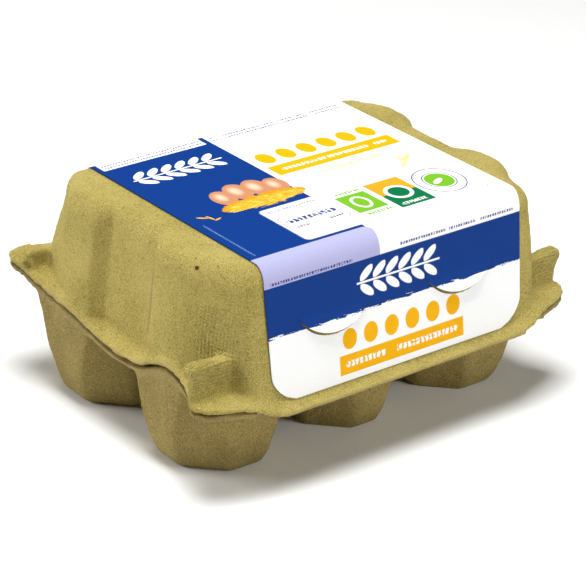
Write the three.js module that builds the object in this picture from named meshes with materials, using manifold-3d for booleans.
// A shut six-egg carton of moulded pulp with a printed paper label over its top and front.
// Millimetres, Z up. X runs along the carton, the label's front face looks along -Y, and the
// origin is under the middle of the carton on the surface it stands on.
import * as THREE from 'three';
import { mergeVertices } from 'three/addons/utils/BufferGeometryUtils.js';
import Module from 'manifold-3d';

const wasm = await Module();
wasm.setup();

// Overall sizes
const topHeight = 75;            // flat top of the lid above the floor
const cupPitchX = 47.5;          // distance between neighbouring cups along the carton
const cupPitchY = 50.8;          // distance between the two rows of cups
const cupRowShift = 3;           // the cup rows sit this far behind the middle of the whole
const gap = 0.3;                 // clearance between pieces that touch

// Front and rear walls of the lid
const foldZ = 68.2;              // where the front wall ends and the rounded fold begins
const foldDepth = 4;             // how far the fold runs back before the flat top
const frontWallY = -51.3;        // front wall at the fold
const frontWallSlope = 0.1395;   // how far it leans out for each millimetre down
const rearShoulderZ = 69;
const rearWallY = 46.6;
const rearWallSlope = 0.19;

// End walls of the lid: a middle panel, an egg bulge on either side and slanted corner zones
const endMiddle = 2;             // the middle of the end wall along Y
const shoulderZ = 67;            // above this the end walls round over to the flat top
const panelX = 62.6;             // middle panel at the shoulder
const panelSlope = 0.095;
const panelHalf = 12.5;          // half the width of the middle panel
const bulgeX = 68;               // egg bulges at the shoulder
const bulgeSlope = 0.09;
const creaseY = 33.5;            // crease between the bulge and the corner zone
const frontCornerX = 58;         // upright corners at the shoulder
const rearCornerX = 57;
const frontCornerSlope = 0.05;
const rearCornerSlope = 0.36;
const cornerRadius = 5;
const nicheDepth = 1.6;          // arched hollow at the top of the corner zone

// Flanges that meet around the rim
const lidFlange = 1.7;
const trayFlange = 2;
const fanHeight = 30;            // height of the meeting surface in the middle
const hingeRadius = 1.9;         // rolled strip that joins the two behind
const hingeLength = 100;
const trayInset = 0.996;         // the tray's rim is this much smaller than the lid's
const wallFoot = [[0.4, 1.3], [1.7, 0]]; // foot of the lid's wall: height over the flange, how far out

// Ears at the corners of the lid, a front and a rear pair: middle along Y, outer edge, top and foot
const ears = [[-46, 77.4, 47.2, 33.6], [50, 74, 48.2, 41.2]];
const earWidth = 4.4;
const earRoot = 54;              // the ears begin here, inside the lid

// Paper label
const paper = 0.3;
const labelHalf = 52.6;
const labelHalfLow = 51.4;
const labelChamfer = 7.2;
const labelFootZ = 30.2;
const labelRearZ = 74.3;         // the label bends down to here over the rear edge

// Half-moon lock buttons behind flaps cut in the label
const lockX = 26;
const lockChordZ = 55.6;
const lockDepth = 7.4;
const lockHalfChord = 14.4;
const lockMargin = 0.9;          // how far the button shows past the flap
const lockButtonTop = 2.5;       // how far below the fold of the flap the button begins
const lockButtonHalf = 12.2;
const lockRise = 1.5;            // how far the button lifts the flap's lower edge
const lockButtonThickness = 0.25; // at its upper edge
const lockButtonSlope = (0.9 * lockRise) / lockDepth;
const flapOverlap = 0.8;         // how far the flap runs up over its fold to join the label

// A value between listed knots, in a straight line from one to the next.
function along(knots, t) {
  if (t <= knots[0][0]) return knots[0][1];
  for (let i = 1; i < knots.length; i++) {
    const [t1, v1] = knots[i];
    if (t > t1) continue;
    const [t0, v0] = knots[i - 1];
    return v0 + ((v1 - v0) * (t - t0)) / (t1 - t0);
  }
  return knots[knots.length - 1][1];
}

// Quarter-round fade from 1 at the start height to 0 at the flat top.
function roundOver(z, start) {
  const t = THREE.MathUtils.clamp((z - start) / (topHeight - start), 0, 1);
  return Math.sqrt(1 - t * t);
}

function frontY(z) {
  if (z <= foldZ) return frontWallY - frontWallSlope * (foldZ - z);
  return frontWallY + foldDepth * (1 - roundOver(z, foldZ));
}

function rearY(z) {
  if (z <= rearShoulderZ) return rearWallY + rearWallSlope * (rearShoulderZ - z);
  return rearWallY - foldDepth * (1 - roundOver(z, rearShoulderZ));
}

// Distance of the end wall from the middle at depth y and height z.
function endX(y, z) {
  const drop = shoulderZ - Math.min(z, shoulderZ);
  const u = Math.abs(y - endMiddle);
  const atFront = y < endMiddle;
  const panel = panelX + panelSlope * drop;
  const bulge = bulgeX + bulgeSlope * drop;
  const corner = atFront
    ? frontCornerX + frontCornerSlope * drop
    : rearCornerX + rearCornerSlope * Math.min(drop, 24);
  const cornerU = atFront ? 56 : 46;
  const hollow = nicheDepth * Math.exp(-(drop * drop) / 50);
  const wall = along([
    [0, panel], [panelHalf, panel + 0.3], [panelHalf + 4.5, bulge - 0.8], [21, bulge],
    [28, bulge], [creaseY, bulge - 1.5], [40, corner + (bulge - corner) * 0.55 - hollow],
    [cornerU, corner],
  ], u);
  const flat = along([
    [0, 58.2], [panelHalf, 58.8], [18, 63.2], [29, 63.6], [35, 60], [40, 55.2], [60, 53.2],
  ], u);
  return flat + (wall - flat) * roundOver(z, shoulderZ);
}

// Half of the rim where lid and tray meet, from the middle of the front round the right end to
// the middle of the rear. It dips at the front lip, rises at each egg and is highest at the hinge.
const rimCurve = new THREE.CatmullRomCurve3([
  [0, -60.8, 26.5], [40, -60.8, 26.5], [50.5, -60.8, 26.7], [56.5, -60, 29.2], [62, -58.2, 31.4],
  [68, -56.6, 31.9], [74, -53.6, 31.8], [77.5, -49, 32.5], [74.6, -43, 33.5], [72.4, -38, 34.5],
  [72, -29, 36.4], [72, -21, 34.6], [72, -14, 31.2], [72, -5, 29.8], [72, 3, 29.8],
  [72, 11, 30.8], [72, 20, 32.6], [72, 28, 34.2], [72, 37, 35], [72, 45, 36.8],
  [74, 51, 39.4], [76.2, 56, 42.2], [73, 60, 42.8], [65.5, 61, 42.4], [59, 59.5, 41.5],
  [52, 58.7, 41], [40, 58.7, 41], [0, 58.7, 41],
].map(([x, y, z]) => new THREE.Vector3(x, y, z)), false, 'centripetal');
const rimSpans = rimCurve.points.length - 1;
const rimEnd = [9, 19];          // knots of the rim beside the straight part of the end wall

// Stations round the right half of the lid, from the middle of the front to the middle of the
// rear. Each has a place on the wall, as a function of height, and a place on the rim.
const stations = [];
const arcSteps = 6;
for (const [part, rim] of [[0, 0], [0.25, 0.33], [0.5, 0.67], [0.75, 1], [0.93, 1.7]]) {
  const wall = (z) => [part * (frontCornerX - cornerRadius), frontY(z)];
  stations.push({ wall, rim });
}
function cornerStation(turn, rim, yAt, inward) {
  const wall = (z) => {
    const centreX = endX(yAt(z) + inward * cornerRadius, z) - cornerRadius;
    return [
      centreX + cornerRadius * Math.cos(turn),
      yAt(z) + inward * cornerRadius + cornerRadius * Math.sin(turn),
    ];
  };
  stations.push({ wall, rim });
}
for (let i = 0; i <= arcSteps; i++) {
  const part = i / arcSteps;
  cornerStation(-Math.PI / 2 + (part * Math.PI) / 2, 2 + part * 5, frontY, 1);
}
const endDepths = [-42, -36];
for (let side = -1; side <= 1; side += 2) {
  const half = [creaseY, 31, 28, 25, 21, 17, 14.8, panelHalf, 6].map((u) => side * u + endMiddle);
  endDepths.push(...(side < 0 ? half : [endMiddle, ...half.reverse()]));
}
for (const y of endDepths) {
  let rim = rimEnd[0];
  while (rim < rimEnd[1] && rimCurve.points[rim + 1].y < y) rim++;
  const knot = rimCurve.points[rim];
  const next = rimCurve.points[rim + 1];
  const share = Math.max(-1, (y - knot.y) / (next.y - knot.y));
  stations.push({ wall: (z) => [endX(y, z), y], rim: rim + share });
}
for (let i = 0; i <= arcSteps; i++) {
  const part = i / arcSteps;
  cornerStation((part * Math.PI) / 2, 20 + part * 5, rearY, -1);
}
for (const part of [0.75, 0.5, 0.25, 0]) {
  const wall = (z) => [part * (rearCornerX - cornerRadius), rearY(z)];
  stations.push({ wall, rim: rimSpans - (part * 4) / 3 });
}

// A closed loop from the right half, mirrored to the left.
function closeLoop(half) {
  const left = half.slice(1, -1).reverse().map((p) => new THREE.Vector3(-p.x, p.y, p.z));
  return [...half, ...left];
}

// A point on the rim, or a little inside it on the same meeting surface.
function rimPoint(station, raise, shrink = 1) {
  const p = rimCurve.getPoint(station.rim / rimSpans);
  const height = fanHeight + (p.z - fanHeight) * shrink;
  return new THREE.Vector3(p.x * shrink, p.y * shrink, height + raise);
}

// A closed body from loops stacked one over the other. Each end is a fan round its own centre.
function loft(loops, bottom, top) {
  const count = loops[0].length;
  const points = loops.flat();
  const faces = [];
  for (let j = 0; j + 1 < loops.length; j++) {
    for (let i = 0; i < count; i++) {
      const a = j * count + i;
      const b = j * count + ((i + 1) % count);
      faces.push(a, b, b + count, a, b + count, a + count);
    }
  }
  const low = points.push(bottom) - 1;
  const high = points.push(top) - 1;
  const lastRow = (loops.length - 1) * count;
  for (let i = 0; i < count; i++) {
    const next = (i + 1) % count;
    faces.push(low, next, i, high, lastRow + i, lastRow + next);
  }
  const geometry = new THREE.BufferGeometry();
  const positions = points.flatMap((p) => p.toArray());
  geometry.setAttribute('position', new THREE.Float32BufferAttribute(positions, 3));
  geometry.setIndex(faces);
  return geometry;
}

function toSolid(geometry) {
  const bare = new THREE.BufferGeometry();
  bare.setAttribute('position', geometry.getAttribute('position').clone());
  if (geometry.index) bare.setIndex(geometry.index.clone());
  const merged = mergeVertices(bare, 1e-4);
  return new wasm.Manifold(new wasm.Mesh({
    numProp: 3,
    vertProperties: Float32Array.from(merged.getAttribute('position').array),
    triVerts: Uint32Array.from(merged.index.array),
  }));
}

function toGeometry(solid) {
  const mesh = solid.getMesh();
  const geometry = new THREE.BufferGeometry();
  const positions = [];
  for (let i = 0; i < mesh.numVert; i++) {
    for (let k = 0; k < 3; k++) positions.push(mesh.vertProperties[i * mesh.numProp + k]);
  }
  geometry.setAttribute('position', new THREE.Float32BufferAttribute(positions, 3));
  geometry.setIndex(Array.from(mesh.triVerts));
  geometry.computeVertexNormals();
  return geometry;
}

// Lid
const lidLevels = [50, 55, 60, 64, shoulderZ, foldZ, rearShoulderZ, 70.5, 72, 73.3, labelRearZ, topHeight];

function wallLoop(heightAt, grow = 0) {
  return closeLoop(stations.map((station) => {
    const z = heightAt(station);
    const [x, y] = station.wall(z);
    const out = new THREE.Vector2(x / 60, (y - cupRowShift) / 52);
    const longest = Math.max(Math.abs(out.x), Math.abs(out.y));
    const share = (v) => Math.sign(v) * THREE.MathUtils.smoothstep(Math.abs(v) / longest, 0.7, 0.95);
    const push = new THREE.Vector2(share(out.x), share(out.y));
    return new THREE.Vector3(x + grow * push.x, y + grow * push.y, z);
  }));
}

// Height of the surface where lid and tray meet, under a point of the right half. It runs in
// straight lines from the middle of the carton to the rim.
function meetingHeight(x, y) {
  const rim = stations.map((station) => rimPoint(station, 0));
  for (let i = 1; i < rim.length; i++) {
    const a = rim[i - 1];
    const b = rim[i];
    const across = x * (b.y - a.y) - y * (b.x - a.x);
    const share = (a.x * y - a.y * x) / across;
    if (across <= 0 || share < 0 || share > 1) continue;
    const reach = across / (a.x * b.y - a.y * b.x);
    return fanHeight + (a.z + share * (b.z - a.z) - fanHeight) * reach;
  }
  return rim[y < 0 ? 0 : rim.length - 1].z;
}

function flangeTop(station) {
  const [x, y] = station.wall(rimPoint(station, lidFlange).z);
  return meetingHeight(x, y) + lidFlange;
}

function makeEar(depth, outerX, topZ, footZ) {
  const outline = new THREE.Shape();
  outline.moveTo(earRoot, footZ);
  outline.lineTo(outerX - 2.6, footZ);
  outline.lineTo(outerX - 2.2, (footZ + topZ) / 2);
  outline.lineTo(outerX, topZ - 3);
  outline.lineTo(outerX - 0.6, topZ - 0.8);
  outline.lineTo(outerX - 2, topZ);
  outline.lineTo(earRoot, topZ - 2);
  const block = new THREE.ExtrudeGeometry(outline, { depth: earWidth, bevelEnabled: false });
  block.rotateX(Math.PI / 2);
  block.translate(0, depth + earWidth / 2, 0);
  return block;
}

function makeLid() {
  const half = gap / 2;
  const loops = [
    closeLoop(stations.map((s) => rimPoint(s, half))),
    closeLoop(stations.map((s) => rimPoint(s, half + lidFlange))),
    ...wallFoot.map(([rise, out]) => wallLoop((s) => flangeTop(s) + rise, out)),
    ...lidLevels.map((z) => wallLoop(() => z)),
  ];
  const low = new THREE.Vector3(0, 0, fanHeight + half);
  const high = new THREE.Vector3(0, 0, topHeight);
  let lid = toSolid(loft(loops, low, high));
  for (const [depth, outerX, topZ, footZ] of ears) {
    const ear = makeEar(depth, outerX, topZ, footZ);
    lid = lid.add(toSolid(ear));
    const turned = ear.clone().rotateZ(Math.PI).translate(0, 2 * depth, 0);
    lid = lid.add(toSolid(turned));
  }
  return lid;
}

// Tray: six cups under a wavy flange, and the rolled hinge strip behind. These lists give, for
// heights above the floor, how far a cup's wall is from the cup's middle towards the other cups,
// the carton's end, its front and its rear, and then half the width of the cup's flat faces.
const cupInner = [[0, 16.4], [2.2, 17.4], [5.5, 18.5], [10, 19.2], [17.7, 20.4], [26.6, 21.9], [34, 22.9]];
const cupEnd = [[0, 18.3], [2.2, 20.4], [5.5, 21.9], [10, 23.3], [17.7, 24.7], [26.6, 24.9], [34, 25]];
const cupFront = [[0, 17.9], [2.2, 19.2], [5.5, 20.6], [10, 21.6], [17.7, 22.5], [26.6, 23.2], [34, 23.9]];
const cupRear = [[0, 19], [2.2, 20.2], [5.5, 21.2], [10, 22], [17.7, 23.5], [26.6, 25.5], [34, 27.5]];
const cupFlat = [[0, 4.8], [2.2, 5.1], [5.5, 5.5], [10, 6], [17.7, 7.7], [26.6, 10], [34, 11.9]];
const cupTop = 43;

// One level of a cup: an eight-sided outline with softened corners.
function cupLoop(centreX, centreY, z) {
  const inner = along(cupInner, z);
  const sides = [
    centreX > 1 ? along(cupEnd, z) : inner,
    centreY > cupRowShift ? along(cupRear, z) : inner,
    centreX < -1 ? along(cupEnd, z) : inner,
    centreY < cupRowShift ? along(cupFront, z) : inner,
  ];
  const chamfer = inner - along(cupFlat, z);
  const corners = [];
  for (let q = 0; q < 4; q++) {
    const a = sides[q];
    const b = sides[(q + 1) % 4];
    const turned = (u, v) => [[u, v], [-v, u], [-u, -v], [v, -u]][q];
    corners.push(turned(a, b - chamfer), turned(a - chamfer, b));
  }
  const points = [];
  corners.forEach((corner, i) => {
    const before = corners[(i + 7) % 8];
    const after = corners[(i + 1) % 8];
    const soften = 1.2;
    for (const target of [before, after]) {
      const to = new THREE.Vector2(target[0] - corner[0], target[1] - corner[1]);
      to.setLength(Math.min(soften, to.length() / 2.5));
      points.push(new THREE.Vector3(centreX + corner[0] + to.x, centreY + corner[1] + to.y, z));
    }
  });
  return points;
}

function makeCup(centreX, centreY) {
  const levels = [...new Set([...cupInner.map((knot) => knot[0]), cupTop])];
  const loops = levels.map((z) => cupLoop(centreX, centreY, z));
  return loft(loops, new THREE.Vector3(centreX, centreY, 0), new THREE.Vector3(centreX, centreY, cupTop));
}

// The tray's front edge stays behind the lid's front lip: this is what is cut away there.
function makeLipNotch() {
  const half = [[62, -70], [62, -58.3], [53, -57.2]];
  const mirrored = half.map(([x, y]) => [-x, y]).reverse();
  const outline = new THREE.Shape([...half, ...mirrored].map(([x, y]) => new THREE.Vector2(x, y)));
  return new THREE.ExtrudeGeometry(outline, { depth: cupTop, bevelEnabled: false });
}

function makeTray() {
  const half = gap / 2;
  const ring = (raise) => closeLoop(stations.map((s) => rimPoint(s, raise, trayInset)));
  const centre = (raise) => new THREE.Vector3(0, 0, fanHeight + raise);
  const under = -half - trayFlange;
  const slab = toSolid(loft([ring(under), ring(-half)], centre(under), centre(-half)));
  const below = ring(0).map((p) => new THREE.Vector3(p.x, p.y, -5));
  const trim = toSolid(loft([below, ring(-1)], new THREE.Vector3(0, 0, -5), centre(-1)));
  let tray = slab.subtract(toSolid(makeLipNotch()));
  for (const column of [-1, 0, 1]) {
    for (const row of [-0.5, 0.5]) {
      const cup = toSolid(makeCup(column * cupPitchX, row * cupPitchY + cupRowShift));
      tray = tray.add(cup.intersect(trim));
    }
  }
  const section = new THREE.Shape();
  section.moveTo(0, -half - gap);
  section.lineTo(-hingeRadius, -half - gap);
  section.lineTo(-hingeRadius, -trayFlange);
  section.lineTo(0, -hingeRadius);
  section.absarc(0, 0, hingeRadius, -Math.PI / 2, Math.PI / 2);
  const hinge = new THREE.ExtrudeGeometry(section, {
    depth: hingeLength,
    bevelEnabled: false,
    curveSegments: 8,
  });
  const [ox, oy, oz] = [[1, 0, 0], [0, 1, 0], [0, 0, 1]].map((axis) => new THREE.Vector3(...axis));
  hinge.applyMatrix4(new THREE.Matrix4().makeBasis(oy, oz, ox));
  const rimRear = rimCurve.points[rimSpans];
  hinge.translate(-hingeLength / 2, rimRear.y + gap, rimRear.z);
  return tray.add(toSolid(hinge));
}

// Label: a thin skin that follows the lid's top and front
function labelPath() {
  const path = [[rearY(labelRearZ), labelRearZ], [rearY(topHeight), topHeight]];
  for (const z of lidLevels.filter((level) => level >= foldZ).reverse()) path.push([frontY(z), z]);
  const footStart = labelFootZ + labelChamfer;
  for (const z of [55, footStart, labelFootZ]) path.push([frontY(z), z]);
  return path.map(([y, z]) => new THREE.Vector2(y, z));
}

function labelHalfAt(z) {
  const straight = along([[labelFootZ, labelHalfLow], [foldZ, labelHalf]], z);
  return straight - Math.max(0, labelFootZ + labelChamfer - z);
}

function makeLabelSheet() {
  const path = labelPath();
  const sections = path.map((p, i) => {
    const before = path[Math.max(0, i - 1)];
    const after = path[Math.min(path.length - 1, i + 1)];
    const normal = new THREE.Vector2(after.y - before.y, before.x - after.x).normalize();
    const first = i > 0 ? new THREE.Vector2(p.y - before.y, before.x - p.x).normalize() : normal;
    const spread = 1 / Math.max(0.7, normal.dot(first));
    const width = labelHalfAt(p.y);
    return [[-width, gap], [width, gap], [width, gap + paper], [-width, gap + paper]].map(([x, off]) => {
      const place = p.clone().addScaledVector(normal, off * spread);
      return new THREE.Vector3(x, place.x, place.y);
    });
  });
  const middle = (section) => section.reduce((sum, p) => sum.add(p), new THREE.Vector3()).divideScalar(4);
  return toSolid(loft(sections, middle(sections[0]), middle(sections[sections.length - 1])));
}

// A point on the front wall: x along it, v down from the top of the lock flap, out from the lid.
function onFrontWall(x, v, out) {
  const lean = Math.atan(frontWallSlope);
  return new THREE.Vector3(
    x,
    frontY(lockChordZ) - v * Math.sin(lean) - out * Math.cos(lean),
    lockChordZ - v * Math.cos(lean) + out * Math.sin(lean),
  );
}

// A half-moon slab below a straight chord at the depth `top`. Its upper edge can be lifted over
// the chord. Its inner and outer faces are functions of depth.
function halfMoon({ centreX, top, depth, halfChord, lifted, inner, outer }) {
  const hang = depth - top;
  const radius = (halfChord * halfChord + hang * hang) / (2 * hang);
  const spread = Math.asin(halfChord / radius);
  const outline = [];
  const steps = 14;
  for (let i = 0; i <= steps; i++) {
    const angle = -spread + (2 * spread * i) / steps;
    outline.push([centreX + radius * Math.sin(angle), depth - radius + radius * Math.cos(angle)]);
  }
  if (lifted > 0) outline.push([centreX + halfChord, top - lifted], [centreX - halfChord, top - lifted]);
  const ring = (out) => outline.map(([x, v]) => onFrontWall(x, v, out(v)));
  const middle = (out) => onFrontWall(centreX, (top + depth) / 2, out((top + depth) / 2));
  return toSolid(loft([ring(inner), ring(outer)], middle(inner), middle(outer)));
}

// How far the lock button pushes the flap out, at a depth below the flap's fold.
const lift = (v) => (lockRise * Math.max(0, v)) / lockDepth;

// The flap is a little wider than the hole, so that the two join at the ends of the cut.
function makeLabel() {
  let label = makeLabelSheet();
  for (const side of [-1, 1]) {
    const hole = halfMoon({
      centreX: side * lockX,
      top: 0,
      depth: lockDepth + lockMargin + gap,
      halfChord: lockHalfChord,
      lifted: 0,
      inner: () => -1,
      outer: () => 3,
    });
    const flap = halfMoon({
      centreX: side * lockX,
      top: 0,
      depth: lockDepth,
      halfChord: lockHalfChord + gap,
      lifted: flapOverlap,
      inner: (v) => gap + lift(v),
      outer: (v) => gap + paper + lift(v),
    });
    label = label.subtract(hole).add(flap);
  }
  return label;
}

function makeLockButton(side) {
  return halfMoon({
    centreX: side * lockX,
    top: lockButtonTop,
    depth: lockDepth + lockMargin,
    halfChord: lockButtonHalf,
    lifted: 0,
    inner: () => gap,
    outer: (v) => gap + lockButtonThickness + lockButtonSlope * (v - lockButtonTop),
  });
}

// Materials, one to a mesh, and the finished group
const colours = { pulpLid: 0xb3a45f, pulpTray: 0xa3935c, paperPrint: 0x2b4f97 };

function makeMesh(name, solid, colour, roughness) {
  const material = new THREE.MeshStandardMaterial({ color: colour, roughness, metalness: 0 });
  const mesh = new THREE.Mesh(toGeometry(solid), material);
  mesh.name = name;
  return mesh;
}

const carton = new THREE.Group();
carton.name = 'egg_carton';
carton.add(makeMesh('lid', makeLid(), colours.pulpLid, 0.95));
carton.add(makeMesh('tray', makeTray(), colours.pulpTray, 0.95));
carton.add(makeMesh('label', makeLabel(), colours.paperPrint, 0.45));
carton.add(makeMesh('lock_button_left', makeLockButton(-1), colours.pulpTray, 0.95));
carton.add(makeMesh('lock_button_right', makeLockButton(1), colours.pulpTray, 0.95));

export default carton;
